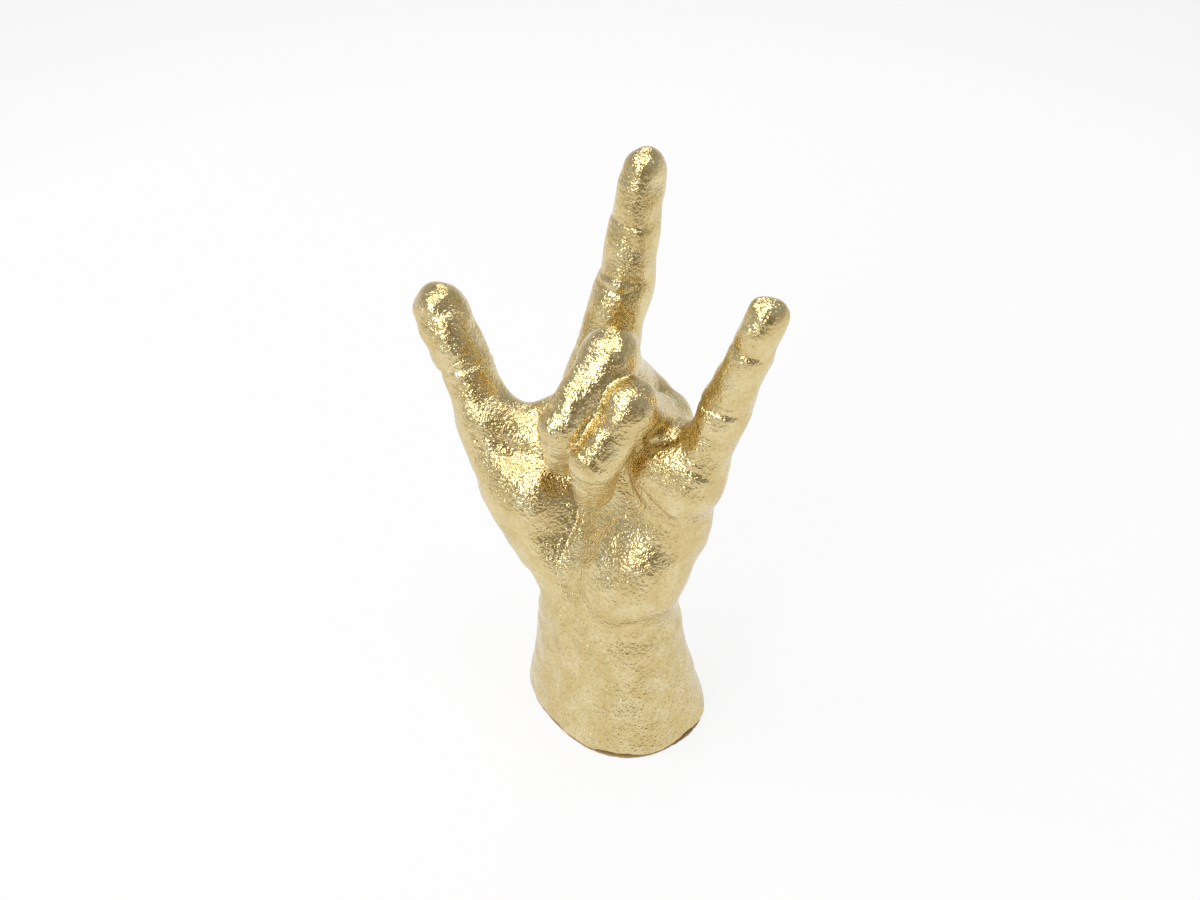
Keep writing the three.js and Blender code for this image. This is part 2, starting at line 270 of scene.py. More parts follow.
# The model is carved in a block of small cubes. Each holds its distance to the surface in millimetres.
cube = 0.75
block_low = np.array([-98.0, -37.0, -3.0])
block_high = np.array([54.0, 59.0, 211.0])
counts = np.ceil((block_high - block_low) / cube).astype(int) + 1
rulers = [(block_low[i] + cube * np.arange(counts[i])).astype(np.float32) for i in range(3)]
everywhere = (rulers[0][:, None, None], rulers[1][None, :, None], rulers[2][None, None, :])
far_off = 20.0


def empty_block():
    return np.full(counts, far_off, np.float32)


def near(points, reach):
    """The part of the block within reach of the points, and the places of its cubes."""
    points = np.array(points)
    start = np.floor((points.min(0) - reach - block_low) / cube).astype(int).clip(0)
    end = np.minimum(np.ceil((points.max(0) + reach - block_low) / cube).astype(int) + 1, counts)
    part = tuple(slice(start[i], end[i]) for i in range(3))
    x, y, z = (rulers[i][part[i]] for i in range(3))
    return part, (x[:, None, None], y[None, :, None], z[None, None, :])


def merged(one, other, soft):
    """Two lumps of clay pressed together, with the corner between them rounded over this width."""
    share = np.maximum(soft - np.abs(one - other), 0) / soft
    return np.minimum(one, other) - share * share * soft / 4


def trimmed(one, other, soft):
    """Clay kept only where both are, with the edge rounded over this width."""
    return -merged(-one, -other, soft)


def roll(place, start, end, start_radius, end_radius):
    """Distance to a round-ended roll of clay."""
    start, end = np.asarray(start, np.float32), np.asarray(end, np.float32)
    along = end - start
    off = [place[i] - start[i] for i in range(3)]
    share = ((off[0] * along[0] + off[1] * along[1] + off[2] * along[2]) / (along @ along)).clip(0, 1)
    span = sum((off[i] - share * along[i]) ** 2 for i in range(3))
    return np.sqrt(span) - (start_radius + (end_radius - start_radius) * share)


def rolls(clay, points, radii, soft):
    """Presses a row of rolls on to the clay, point after point."""
    part, place = near(points, max(radii) + soft + 6)
    row = None
    for i in range(len(points) - 1):
        one = roll(place, points[i], points[i + 1], radii[i], radii[i + 1])
        row = one if row is None else np.minimum(row, one)
    clay[part] = merged(clay[part], row, soft)


def lump(clay, centre, half, directions, soft):
    """Presses an oval lump on to the clay."""
    part, place = near([centre], max(half) + soft + 6)
    off = [place[i] - centre[i] for i in range(3)]
    own = [sum(off[i] * float(d[i]) for i in range(3)) for d in directions]
    reached = np.sqrt(sum((own[k] / half[k]) ** 2 for k in range(3)))
    slope = np.sqrt(sum((own[k] / half[k] ** 2) ** 2 for k in range(3))) + 1e-6
    clay[part] = merged(clay[part], reached * (reached - 1) / slope, soft)


def smoothed(clay, width):
    """The clay rubbed smooth over about this width."""
    steps = max(1, round((width / cube) ** 2))
    for _ in range(steps):
        for axis in range(3):
            ahead = np.roll(clay, -1, axis)
            behind = np.roll(clay, 1, axis)
            clay = clay * 0.5 + (ahead + behind) * 0.25
    return clay


# Places in the hand: across to the little finger's side, up along the leaning hand, and forward from the palm
lean = math.radians(16.4)
across = np.array([1.0, 0.0, 0.0])
up = np.array([0.0, math.sin(lean), math.cos(lean)])
forward = np.array([0.0, -math.cos(lean), math.sin(lean)])
wrist = np.array([-2.2, -2.0, 47.0])


def in_hand(a, u, f):
    return wrist + a * across + u * up + f * forward


def heading(splay, rise):
    """A direction in the hand: splayed in the palm's plane, then risen out of it, in degrees."""
    splay, rise = math.radians(splay), math.radians(rise)
    flat = math.cos(splay) * up + math.sin(splay) * across
    return math.cos(rise) * flat + math.sin(rise) * forward


# Forearm and core of the palm: height, place across and forward, width, depth and turn of each oval section
palm = empty_block()
forearm_sections = np.array([
    (0, base_centre[0], -base_centre[1], base_width, base_depth, math.degrees(base_turn)),
    (14, -2, -0.5, 64, 53, -14),
    (30, -2.6, 0.5, 57.4, 46.6, -8),
    (44, -2.5, 1, 53.5, 41.5, -3),
    (56, -3.9, 1.5, 46.4, 36, 0),
    (68, -3.9, 0, 44.4, 30, 0),
])
forearm_squareness = 2.3
forearm_top = 62
palm_sections = np.array([
    (-6, -3.9, 0.5, 42.6, 35, 0),
    (9, -4.4, 0.5, 42.6, 33, 0),
    (21, -3.6, 0.5, 50, 30, 0),
    (37, -2.2, 0.5, 58, 27, 0),
    (57, -1.2, 0, 54, 22, 0),
    (73, -1.2, -1, 44, 13, 0),
])
palm_squareness = 2.5
palm_bottom, palm_top = palm_sections[0, 0], palm_sections[-1, 0]


def oval_column(sections, height, sideways, outwards, squareness):
    """Distance to a column through the oval sections."""
    values = [np.interp(height, sections[:, 0], sections[:, k]).astype(np.float32) for k in range(1, 6)]
    mid_across, mid_forward, width, depth, turned = values
    turned = np.radians(turned)
    a, f = sideways - mid_across, -(outwards - mid_forward)
    a, f = a * np.cos(turned) + f * np.sin(turned), f * np.cos(turned) - a * np.sin(turned)
    powers = (np.abs(a) / (width / 2)) ** squareness + (np.abs(f) / (depth / 2)) ** squareness
    reached = powers ** (1 / squareness) + 1e-6
    return np.sqrt(a * a + f * f) * (1 - 1 / reached)


part, (x, y, z) = near([(-40, -32, -2), (40, 32, 74)], 4)
forearm = oval_column(forearm_sections, z + 0 * x + 0 * y, x, -y, forearm_squareness)
lower_end = 1000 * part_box("palm_casting")[0][2] - 0.3
palm[part] = trimmed(trimmed(forearm, z - forearm_top, 6), lower_end - z, 1.0)
part, (x, y, z) = near([(-40, -36, 30), (40, 50, 130)], 4)
risen = y * up[1] + (z - wrist[2]) * up[2] + 0 * x
outward = y * forward[1] + (z - wrist[2]) * forward[2] + 0 * x
core = oval_column(palm_sections, risen, x, outward, palm_squareness)
core = trimmed(trimmed(core, palm_bottom - risen, 4), risen - palm_top, 6)
palm[part] = merged(palm[part], core, 7)

# Fingers: the splay, bend and length of each bone, from the knuckle out. The flesh runs through points on
# each bone: share of the way along it, how far it lies to the palm's side, and its radius. The seam, where
# the casting is parted from the palm, is measured from the knuckle.
fingers = {
    "index": {
        "carpal": (-12, 14, 0),
        "knuckle": (-20.7, 77.9, -0.4),
        "splays": (0.7, 0.7, 0.7),
        "bends": (-3.8, 3.4, 2),
        "lengths": (37.9, 22.2, 18.6),
        "flesh": (
            ((0.0, 0.0, 12.6), (0.4, 0.5, 11.4), (0.7, 0.5, 10.2), (1.0, 0.0, 10.0)),
            ((0.25, 0.3, 9.4), (0.6, 0.4, 8.8), (1.0, 0.0, 8.8)),
            ((0.3, 0.3, 8.5), (0.7, 0.5, 8.3), (1.0, 0.2, 7.7)),
        ),
        "seam": 15,
    },
    "little": {
        "carpal": (10.5, 13.5, 3),
        "knuckle": (26.8, 67.3, 8.1),
        "splays": (13.6, 13.6, 13.6),
        "bends": (4.5, -0.5, 2),
        "lengths": (30.4, 20.6, 16.2),
        "flesh": (
            ((0.0, 0.0, 9.4), (0.4, 0.6, 9.2), (0.75, 0.5, 8.7), (1.0, 0.0, 8.8)),
            ((0.3, 0.3, 8.5), (0.65, 0.3, 8.1), (1.0, 0.0, 8.1)),
            ((0.3, 0.2, 7.7), (0.7, 0.4, 7.5), (1.0, 0.2, 7.0)),
        ),
        "seam": 13,
    },
    "middle": {
        "carpal": (-4, 12, -1),
        "knuckle": (-8.5, 78.5, -7.1),
        "splays": (9.8, 11.5, 19),
        "bends": (52.6, 96.4, 63),
        "lengths": (39.6, 27, 24.5),
        "flesh": (
            ((0.0, 0.6, 8.8), (0.5, 0.4, 9.2), (0.8, 0.0, 9.2), (1.0, 0.0, 9.4)),
            ((0.3, 0.0, 9.5), (0.65, 0.0, 9.4), (1.0, 0.0, 8.8)),
            ((0.3, -0.3, 7.8), (0.7, 0.0, 6.9), (1.0, 0.0, 6.0)),
        ),
        "seam": 12,
    },
    "ring": {
        "carpal": (4, 12, 0),
        "knuckle": (5.6, 74.5, -4.8),
        "splays": (11.7, 15.7, 15.7),
        "bends": (63.1, 96, 50),
        "lengths": (37.2, 21.2, 18.8),
        "flesh": (
            ((0.0, 0.6, 7.8), (0.5, 0.3, 9.0), (0.8, 0.0, 9.0), (1.0, 0.0, 9.2)),
            ((0.3, 0.0, 9.2), (0.65, 0.0, 9.1), (1.0, 0.0, 8.9)),
            ((0.3, -0.2, 8.5), (0.7, 0.0, 8.1), (1.0, 0.0, 7.4)),
        ),
        "seam": 11,
    },
}
raised = ("index", "little")
folded = ("middle", "ring")
for finger in fingers.values():
    rises = np.cumsum(finger["bends"])
    finger["headings"] = [heading(s, r) for s, r in zip(finger["splays"], rises)]
    finger["palmar"] = [heading(s, r + 90) for s, r in zip(finger["splays"], rises)]
    finger["joints"] = [in_hand(*finger["knuckle"])]
    for direction, length in zip(finger["headings"], finger["lengths"]):
        finger["joints"].append(finger["joints"][-1] + direction * length)
    finger["sideways"] = np.cross(finger["headings"][0], finger["palmar"][0])

# Thumb: three lengths, each with its own heading. The first lies in the palm, and the seam is on the second.
thumb = {
    "root": (-20.9, 17.1, 9.1),
    "splays": (-42.5, -34.5, -36.5),
    "rises": (4.9, 3.5, 4.9),
    "lengths": (44, 28.5, 21.8),
    "flesh": (
        ((0.0, -1.0, 12.9), (0.5, 0.0, 12.3), (1.0, 0.0, 11.8)),
        ((0.35, 0.3, 11.2), (0.75, 0.2, 9.9), (1.0, 0.0, 9.6)),
        ((0.35, 0.6, 10.1), (0.75, 0.6, 10.2), (1.0, 0.2, 9.5)),
    ),
    "seam": 8,
}
thumb["headings"] = [heading(*pair) for pair in zip(thumb["splays"], thumb["rises"])]
thumb["palmar"] = [heading(s, r + 90) for s, r in zip(thumb["splays"], thumb["rises"])]
thumb["joints"] = [in_hand(*thumb["root"])]
for direction, length in zip(thumb["headings"], thumb["lengths"]):
    thumb["joints"].append(thumb["joints"][-1] + direction * length)


def flesh_row(finger, first, last):
    """The points and radii of a finger's flesh from one of its lengths to another."""
    points, radii = [], []
    for bone in range(first, last + 1):
        start, end = finger["joints"][bone], finger["joints"][bone + 1]
        for share, offset, radius in finger["flesh"][bone]:
            points.append(start + share * (end - start) + offset * finger["palmar"][bone])
            radii.append(radius)
    return points, radii


# Palm bones, from the wrist to each knuckle, and the thumb's first bone
carpal_radius = 12.5
for finger in fingers.values():
    knuckle_radius = finger["flesh"][0][0][2] - 0.4
    rolls(palm, [in_hand(*finger["carpal"]), finger["joints"][0]], [carpal_radius, knuckle_radius], 9)
rolls(palm, [fingers[name]["joints"][0] for name in folded], [8.4, 7.6], 6)
rolls(palm, *flesh_row(thumb, 0, 0), 9)

# Muscle and fat: ovals with their centre, half-sizes, a turn in the palm's plane, and the width over which
# each is rounded into the rest
mounds = {
    "ball of the thumb": ((-37, 37, 9), (15, 17, 16.5), 42, 7),
    "inner side of the ball": ((-27, 35, 8.5), (13, 20, 14.5), 12, 7),
    "side of the thumb's root": ((-33.5, 21.5, 7), (8.5, 14, 11.5), 40, 7),
    "floor of the palm": ((-2, 30, 3.5), (14, 22, 12.5), 0, 7),
    "heel": ((13.2, 28, 9.3), (15.5, 19, 13), -12, 7),
    "foot of the heel": ((7, 18, 8.5), (12, 11.5, 12), 0, 14),
    "middle of the palm": ((17, 47, 4), (15, 14, 11), -15, 7),
    "little finger's pad": ((22, 63, 10.5), (12, 12.5, 11), -20, 7),
    "ring finger's pad": ((13, 68, 11), (10, 11, 10), -8, 7),
    "web of the little finger": ((18, 73, 7.5), (11, 9, 10), 0, 7),
    "hollow": ((-8, 60, 4), (18, 20, 11), 0, 7),
    "index finger's pad": ((-19, 63, 6), (10, 12, 7.5), 4, 7),
}
for centre, half, angle, soft in mounds.values():
    angle = math.radians(angle)
    side = math.cos(angle) * across + math.sin(angle) * up
    rise = -math.sin(angle) * across + math.cos(angle) * up
    lump(palm, in_hand(*centre), half, (side, rise, forward), soft)

# Web of the thumb: rolls from a share of the thumb's first bone to a share of the index finger's palm bone
web_rolls = ((0.55, 0.4, 11.5), (0.8, 0.65, 9.5), (0.95, 0.82, 7.5), (1.06, 0.96, 5.6))
index_root = in_hand(*fingers["index"]["carpal"])
for thumb_share, index_share, radius in web_rolls:
    on_thumb = thumb["joints"][0] + thumb_share * (thumb["joints"][1] - thumb["joints"][0])
    on_index = index_root + index_share * (fingers["index"]["joints"][0] - index_root)
    rolls(palm, [on_thumb, on_index], [radius, radius], 7)

clays = {"thumb": empty_block()}
rolls(clays["thumb"], *flesh_row(thumb, 1, 2), 2)
for name, finger in fingers.items():
    clays[name] = empty_block()
    rolls(clays[name], *flesh_row(finger, 0, 2), 2)

# The bent middle joint of a folded finger is broader than the finger, and stands up a little
for name in folded:
    finger = fingers[name]
    top = finger["headings"][0] - finger["headings"][1]
    top /= np.linalg.norm(top)
    inward = np.cross(finger["sideways"], top)
    joint_radius = finger["flesh"][0][-1][2]
    half = (joint_radius + 0.7, joint_radius - 0.2, joint_radius - 0.2)
    lump(clays[name], finger["joints"][1] + 0.8 * top, half, (finger["sideways"], top, inward), 3)

hand = merged(palm, clays["thumb"], 7)
for name in raised:
    hand = merged(hand, clays[name], 7)
hand = smoothed(hand, 1.2)

# Valley between the ball of the thumb and the heel
trough = empty_block()
trough_way = ((-17, 60, 23), (-11, 46, 24), (-9, 36, 26), (-11, 24, 31))
rolls(trough, [in_hand(*point) for point in trough_way], [11, 10, 10, 10], 1)
hand = trimmed(hand, -trough, 5)

# The folded fingers lie in the palm with a thin line round them, and run into it softly at their knuckles
line_width, line_edge = 0.7, 1.2
line_soft, knuckle_soft = 0.6, 5.0
knuckle_reach = 24
for name in folded:
    pressed_in = empty_block()
    rolls(pressed_in, *flesh_row(fingers[name], 1, 2), 1)
    hand = trimmed(hand, line_width - pressed_in, line_edge)
x, y, z = everywhere
for name in folded:
    knuckle = fingers[name]["joints"][0]
    span = np.sqrt((x - knuckle[0]) ** 2 + (y - knuckle[1]) ** 2 + (z - knuckle[2]) ** 2)
    soft = line_soft + (knuckle_soft - line_soft) * (1 - (span / knuckle_reach).clip(0, 1))
    hand = merged(hand, clays[name], soft)
hand = smoothed(hand, 0.6)

# Tool marks: low lumps left by modelling, from a fixed draw of random heights. The wrist was rubbed smoother,
# and the raised fingers are rougher. The shares are at these heights, in millimetres.
draw = np.random.default_rng(5)


def lumps(spacing, height):
    """Random low lumps, this far apart and about this high, for the whole block."""
    size = np.ceil((block_high - block_low) / spacing).astype(int) + 4
    heights = draw.standard_normal(size).astype(np.float32) * height
    for axis in range(3):
        spot = (rulers[axis] - block_low[axis]) / spacing + 1
        first = np.floor(spot).astype(int)
        rest = spot - first
        weights = ((1 - rest) ** 2 / 2, 0.5 + rest * (1 - rest), rest**2 / 2)
        weights = [weight.reshape(-1, 1, 1).astype(np.float32) for weight in weights]
        heights = np.moveaxis(heights, axis, 0)
        heights = sum(heights[first + k - 1] * weights[k] for k in range(3))
        heights = np.moveaxis(heights, 0, axis)
    return heights


mark_levels = (20, 60, 110, 140)
mark_shares = (0.8, 1, 1, 1.45)
rubbed_down = 0.3
marks = lumps(9, 0.5) + lumps(4, 0.36)
hand += marks * np.interp(z, mark_levels, mark_shares).astype(np.float32) + rubbed_down


# Creases: each runs through points on the skin
def reading(clay, point):
    """The clay's distance at a point, and the way out of the clay there."""
    spot = (np.asarray(point) - block_low) / cube
    low = np.floor(spot).astype(int).clip(1, counts - 3)
    rest = spot - low
    cell = clay[tuple(slice(k, k + 2) for k in low)]
    for share in rest:
        cell = cell[0] * (1 - share) + cell[1] * share
    i, j, k = np.round(spot).astype(int).clip(2, counts - 3)
    slope = np.array([
        clay[i + 2, j, k] - clay[i - 2, j, k],
        clay[i, j + 2, k] - clay[i, j - 2, k],
        clay[i, j, k + 2] - clay[i, j, k - 2],
    ])
    return cell, slope / (np.linalg.norm(slope) + 1e-6)


def on_skin(point):
    """The nearest point of the skin."""
    for _ in range(8):
        distance, outwards = reading(hand, point)
        point = point - 0.8 * distance * outwards
    return point


def creased(points, depth, width):
    """Presses a crease into the skin along the points, shallower at either end."""
    points = [on_skin(point) for point in points]
    part, place = near(points, 3 * width + 1)
    pressed = None
    last = len(points) - 2
    for i in range(last + 1):
        start, along = points[i], points[i + 1] - points[i]
        off = [place[k] - start[k] for k in range(3)]
        share = (sum(off[k] * along[k] for k in range(3)) / (along @ along)).clip(0, 1)
        span = sum((off[k] - share * along[k]) ** 2 for k in range(3))
        fade = 1.0
        if i == 0:
            fade = fade * (0.35 + 0.65 * share)
        if i == last:
            fade = fade * (1 - 0.65 * share)
        one = fade * np.exp(-span / width**2)
        pressed = one if pressed is None else np.maximum(pressed, one)
    hand[part] += (depth * pressed).astype(np.float32)


# Creases of the palm: points in the hand, depth and width
palm_creases = {
    "heart line": (((7, 64, 18), (10, 60.5, 18), (15, 58, 19), (21, 55.5, 19), (27, 53, 18)), 1.6, 1.1),
    "life line": (((-19, 49, 14), (-13, 42, 14), (-11.5, 35, 15), (-12, 28, 17), (-13, 20, 18)), 1.2, 0.8),
    "fold of the thumb's web": (((-47, 54, 22), (-38, 51.5, 21), (-29, 51, 19), (-22, 51, 16)), 2.0, 3.6),
    "web of the ring finger": (((13, 76, 20), (18, 79.5, 19), (20.5, 81, 17.5), (18, 84, 6)), 1.6, 1.0),
    "root of the little finger": (((27, 74.5, 20), (30, 73.6, 19.7), (36, 71.4, 15)), 0.9, 0.8),
    "wrist": (((-17, 8, 20), (-9, 3, 19), (4, 3, 19), (15.5, 5, 18), (25, 11, 15), (27, 13, 0)), 0.3, 2.0),
    "thumb's root": (((-53, 54, 24), (-50, 52, 25.5), (-46, 49, 25)), 0.9, 0.9),
}
for points, depth, width in palm_creases.values():
    creased([in_hand(*point) for point in points], depth, width)

# Tendons: low ridges down the front of the wrist, and from the knuckles to the wrist on the back of the hand
tendon_height, tendon_width = 0.9, 2.4
tendons = (
    ((-11, 4, 18), (-9.4, -3, 18), (-7.5, -12, 20), (-6, -24, 24)),
    ((1, 0, 19), (2.5, -7, 20), (4, -14, 22), (5.6, -24, 24)),
    ((-20, 74, -14), (-15, 52, -17), (-9, 30, -18), (-6, 12, -18)),
    ((-8, 75, -18), (-7, 52, -18), (-5, 30, -18), (-4, 12, -18)),
    ((6, 71, -16), (4, 50, -17), (1, 30, -18), (-1, 12, -18)),
    ((25, 62, -6), (16, 44, -13), (8, 28, -17), (2, 12, -18)),
)
for points in tendons:
    creased([in_hand(*point) for point in points], -tendon_height, tendon_width)


def fold(finger, bone, share, middle, spread, tilt, depth, width):
    """A crease round part of a finger. Its middle is 0 on the palm's side and 180 on the back."""
    start, end = finger["joints"][bone], finger["joints"][bone + 1]
    palmar = finger["palmar"][bone]
    ahead = finger["headings"][bone]
    side = np.cross(ahead, palmar)
    points = []
    for turn in np.linspace(-spread, spread, 7):
        angle = math.radians(middle + turn)
        out = math.cos(angle) * palmar + math.sin(angle) * side
        points.append(start + share * (end - start) + 8 * out + tilt * turn / spread * ahead)
    creased(points, depth, width)


# Folds at the joints: finger, bone, share of the way along it, middle, spread to either side, tilt, depth
# and width
index, little, middle, ring = (fingers[name] for name in ("index", "little", "middle", "ring"))
finger_folds = (
    (index, 1, 0.2, 0, 75, 0.6, 0.8, 0.9),
    (index, 1, 0.02, 0, 55, -0.5, 0.5, 0.7),
    (index, 2, 0.1, 0, 70, -0.6, 0.7, 0.8),
    (index, 0, 0.45, 0, 60, 0.5, 0.5, 0.8),
    (little, 0, 1.0, 0, 75, 2.2, 0.9, 0.9),
    (little, 1, 0.14, 0, 50, 1.0, 0.5, 0.7),
    (little, 2, 0.22, 0, 75, 0.8, 0.8, 0.8),
    (thumb, 2, 0.0, 10, 75, -1.5, 0.8, 0.9),
    (thumb, 2, 0.12, 0, 50, 0.8, 0.4, 0.7),
    (middle, 1, 0.9, 180, 60, 0.6, 0.5, 0.6),
    (middle, 2, 0.02, 180, 60, -0.4, 0.6, 0.6),
    (middle, 2, 0.14, 180, 55, 0.5, 0.4, 0.6),
    (ring, 1, 0.97, 180, 60, 0.4, 0.5, 0.6),
    (ring, 2, 0.1, 180, 60, -0.5, 0.5, 0.6),
    (index, 1, -0.1, 180, 55, 0.5, 0.6, 0.7),
    (index, 1, 0.03, 180, 60, -0.3, 0.7, 0.7),
    (index, 1, 0.16, 180, 50, 0.4, 0.5, 0.7),
    (index, 2, -0.06, 180, 55, 0.3, 0.5, 0.6),
    (index, 2, 0.08, 180, 55, -0.3, 0.5, 0.6),
    (little, 1, -0.1, 180, 55, 0.5, 0.5, 0.7),
    (little, 1, 0.05, 180, 60, -0.3, 0.6, 0.7),
    (little, 1, 0.19, 180, 50, 0.4, 0.4, 0.6),
    (little, 2, -0.04, 180, 55, 0.3, 0.5, 0.6),
    (little, 2, 0.1, 180, 50, -0.3, 0.4, 0.6),
    (thumb, 2, -0.14, 180, 55, 0.4, 0.6, 0.7),
    (thumb, 2, 0.0, 180, 60, -0.4, 0.7, 0.7),
    (thumb, 2, 0.14, 180, 50, 0.3, 0.5, 0.7),
)
for one_fold in finger_folds:
    fold(*one_fold)

# Nails: each is outlined by a groove, from a corner of its free edge back round its root and along the edge
nail_groove_depth, nail_groove_width = 0.8, 0.7
for finger in (thumb, index, little, middle, ring):
    joint, ahead, back = finger["joints"][2], finger["headings"][2], -finger["palmar"][2]
    side = np.cross(ahead, finger["palmar"][2])
    bone_length, tip_radius = finger["lengths"][2], finger["flesh"][2][-1][2]
    wide = 0.68 * tip_radius
    edge = bone_length + 0.45 * tip_radius
    outline = (
        (edge, -wide),
        (0.8 * bone_length, -wide),
        (0.5 * bone_length, -0.8 * wide),
        (0.4 * bone_length, 0),
        (0.5 * bone_length, 0.8 * wide),
        (0.8 * bone_length, wide),
        (edge, wide),
        (edge + 0.25 * tip_radius, 0),
        (edge, -wide),
    )
    points = [joint + a * ahead + b * side + 0.8 * tip_radius * back for a, b in outline]
    creased(points, nail_groove_depth, nail_groove_width)


def as_mesh(name, clay):
    """The surface of the clay as a closed mesh, in metres."""
    skin = 3 * cube
    grid = openvdb.FloatGrid(skin)
    grid.copyFromArray(np.clip(clay, -skin, skin).astype(np.float32), (0, 0, 0), 0.0)
    points, quads = grid.convertToQuads(0.0)
    mesh = bpy.data.meshes.new(name)
    mesh.vertices.add(len(points))
    mesh.vertices.foreach_set("co", ((points * cube + block_low) / 1000).astype(np.float32).ravel())
    mesh.loops.add(quads.size)
    mesh.loops.foreach_set("vertex_index", quads.astype(np.int32).ravel())
    mesh.polygons.add(len(quads))
    mesh.polygons.foreach_set("loop_start", np.arange(0, quads.size, 4, dtype=np.int32))
    mesh.update(calc_edges=True)
    mesh.validate()
    mesh.shade_smooth()
    return mesh


# Gold leaf over cast resin: a thin crinkled metal skin. Its creases, about a millimetre apart, break every
# highlight up into sparks. They are highest on the wrist and lowest on the fingers, where the leaf was rubbed
# down most. Its colour is darker in the hollows of the creases, as painted shade, and paler in cloudy patches
# at random.
leaf_material, leaf_surface, leaf_place = bare("Crinkled gold leaf")
crinkle_width = 1.3
grain_width = 0.7
cloud_width = 8.0
crinkle = add(
    leaf_material,
    "ShaderNodeTexNoise",
    {"Scale": 1 / crinkle_width, "Detail": 2.0, "Roughness": 0.5, "Distortion": 0.25},
    {"Vector": leaf_place},
)
grain = add(
    leaf_material,
    "ShaderNodeTexVoronoi",
    {"Scale": 1 / grain_width, "feature": "SMOOTH_F1", "Smoothness": 0.35},
    {"Vector": leaf_place},
)
relief = add(
    leaf_material,
    "ShaderNodeMath",
    {"operation": "MULTIPLY_ADD", 1: 0.2},
    {0: grain.outputs["Distance"], 2: crinkle.outputs["Fac"]},
)
leaf_spot = add(leaf_material, "ShaderNodeSeparateXYZ", {}, {0: leaf_place})
wrist_crinkle = add(
    leaf_material,
    "ShaderNodeMapRange",
    {"From Min": 35.0, "From Max": 75.0, "To Min": 0.00068, "To Max": 0.0005},
    {"Value": leaf_spot.outputs["Z"]},
)
finger_loss = add(
    leaf_material,
    "ShaderNodeMapRange",
    {"From Min": 125.0, "From Max": 150.0, "To Min": 0.0, "To Max": -0.0001},
    {"Value": leaf_spot.outputs["Z"]},
)
crinkle_height = add(
    leaf_material,
    "ShaderNodeMath",
    {"operation": "ADD"},
    {0: wrist_crinkle.outputs[0], 1: finger_loss.outputs[0]},
)
leaf_bump = add(
    leaf_material,
    "ShaderNodeBump",
    {"Strength": 1.0},
    {"Distance": crinkle_height.outputs[0], "Height": relief.outputs[0]},
)
# Painted shade: the leaf's colour is darker in the hollows of the crinkles and paler on their crests
painted_pit_shade = add(
    leaf_material,
    "ShaderNodeMapRange",
    {"From Min": 0.3, "From Max": 0.6},
    {"Value": crinkle.outputs["Fac"]},
)
clouds = add(
    leaf_material,
    "ShaderNodeTexNoise",
    {"Scale": 1 / cloud_width, "Detail": 3.0, "Roughness": 0.6},
    {"Vector": leaf_place},
)
# Pale patches at random, from the clouds
pale_patches = add(
    leaf_material,
    "ShaderNodeMapRange",
    {"From Min": 0.4, "From Max": 0.65},
    {"Value": clouds.outputs["Fac"]},
)
# The random pale patches mixed with the painted shade of the crinkle hollows
patches_and_pit_shade = add(
    leaf_material,
    "ShaderNodeMix",
    {"data_type": "FLOAT", 0: 0.4},
    {2: pale_patches.outputs[0], 3: painted_pit_shade.outputs[0]},
)
leaf_colour = add(
    leaf_material,
    "ShaderNodeMix",
    {"data_type": "RGBA", 6: linear("#d1b97c"), 7: linear("#e6d5a6")},
    {0: patches_and_pit_shade.outputs[0]},
)
leaf_surface.inputs["Metallic"].default_value = 1.0
leaf_surface.inputs["Roughness"].default_value = 0.14
cover(leaf_surface, leaf_colour.outputs[2], leaf_bump.outputs[0])

# Cast resin, as it shows inside the pieces: ivory, satin, mottled with darker spots for fine pits of trapped
# air. The pits have no bump, and their darkness is painted shade.
resin_material, resin_surface, resin_place = bare("Cast polyester resin")
pit_spacing = 2.0
pit_shade_spots = add(resin_material, "ShaderNodeTexVoronoi", {"Scale": 1 / pit_spacing}, {"Vector": resin_place})
# Painted shade: darker at each pit's centre, lighter between the pits
resin_colour = add(
    resin_material,
    "ShaderNodeMix",
    {"data_type": "RGBA", 6: linear("#c9bfa6"), 7: linear("#ddd5c1")},
    {0: pit_shade_spots.outputs["Distance"]},
)
resin_surface.inputs["Roughness"].default_value = 0.45
resin_material.node_tree.links.new(resin_colour.outputs[2], resin_surface.inputs["Base Color"])

# The wrist's hollow, for the core and the plate: oval sections as those of the forearm
solid_hand = hand.copy()
hollow_sections = np.array([
    (0, 0, 0, 56, 46.5, -11),
    (14, -1, 0, 49.5, 39.5, -9),
    (30, -2, 1, 44.5, 33.5, -6),
    (44, -2.5, 1, 41, 29, -3),
    (56, -3.9, 0, 35, 21.5, 0),
])
hollow_squareness = 2.5
hollow_top = 1000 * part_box("plaster_core")[1][2] + 0.5
part, (x, y, z) = near([(-40, -32, -2), (40, 32, 70)], 4)
inside = oval_column(hollow_sections, z + 0 * x + 0 * y, x, -y, hollow_squareness)
hand[part] = trimmed(hand[part], -np.maximum(inside, z - hollow_top), 0.5)

# Holes for the pins, a little wider than they are
pin_hole_radius = 2.3
for pin in pins:
    points = 1000 * np.array([corner.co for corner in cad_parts[pin].data.vertices])
    pin_middle = points.mean(0)
    along = np.linalg.svd(points - pin_middle, full_matrices=False)[2][0]
    reach = (points - pin_middle) @ along
    start, end = pin_middle + reach.min() * along, pin_middle + reach.max() * along
    part, place = near([start, end], pin_hole_radius + 2)
    hand[part] = np.maximum(hand[part], -roll(place, start, end, pin_hole_radius, pin_hole_radius))


def block_piece(name, clay):
    """The surface of the clay as an object of the scene."""
    thing = bpy.data.objects.new(name, as_mesh(name, clay))
    bpy.context.scene.collection.objects.link(thing)
    return thing


def cut(thing, tool, operation):
    """Cuts a piece with a tool, and keeps what is left."""
    saw = thing.modifiers.new("saw", "BOOLEAN")
    saw.solver = "MANIFOLD"
    saw.operation = operation
    saw.object = tool
    left = bpy.data.meshes.new_from_object(thing.evaluated_get(bpy.context.evaluated_depsgraph_get()))
    thing.modifiers.clear()
    thing.data = left


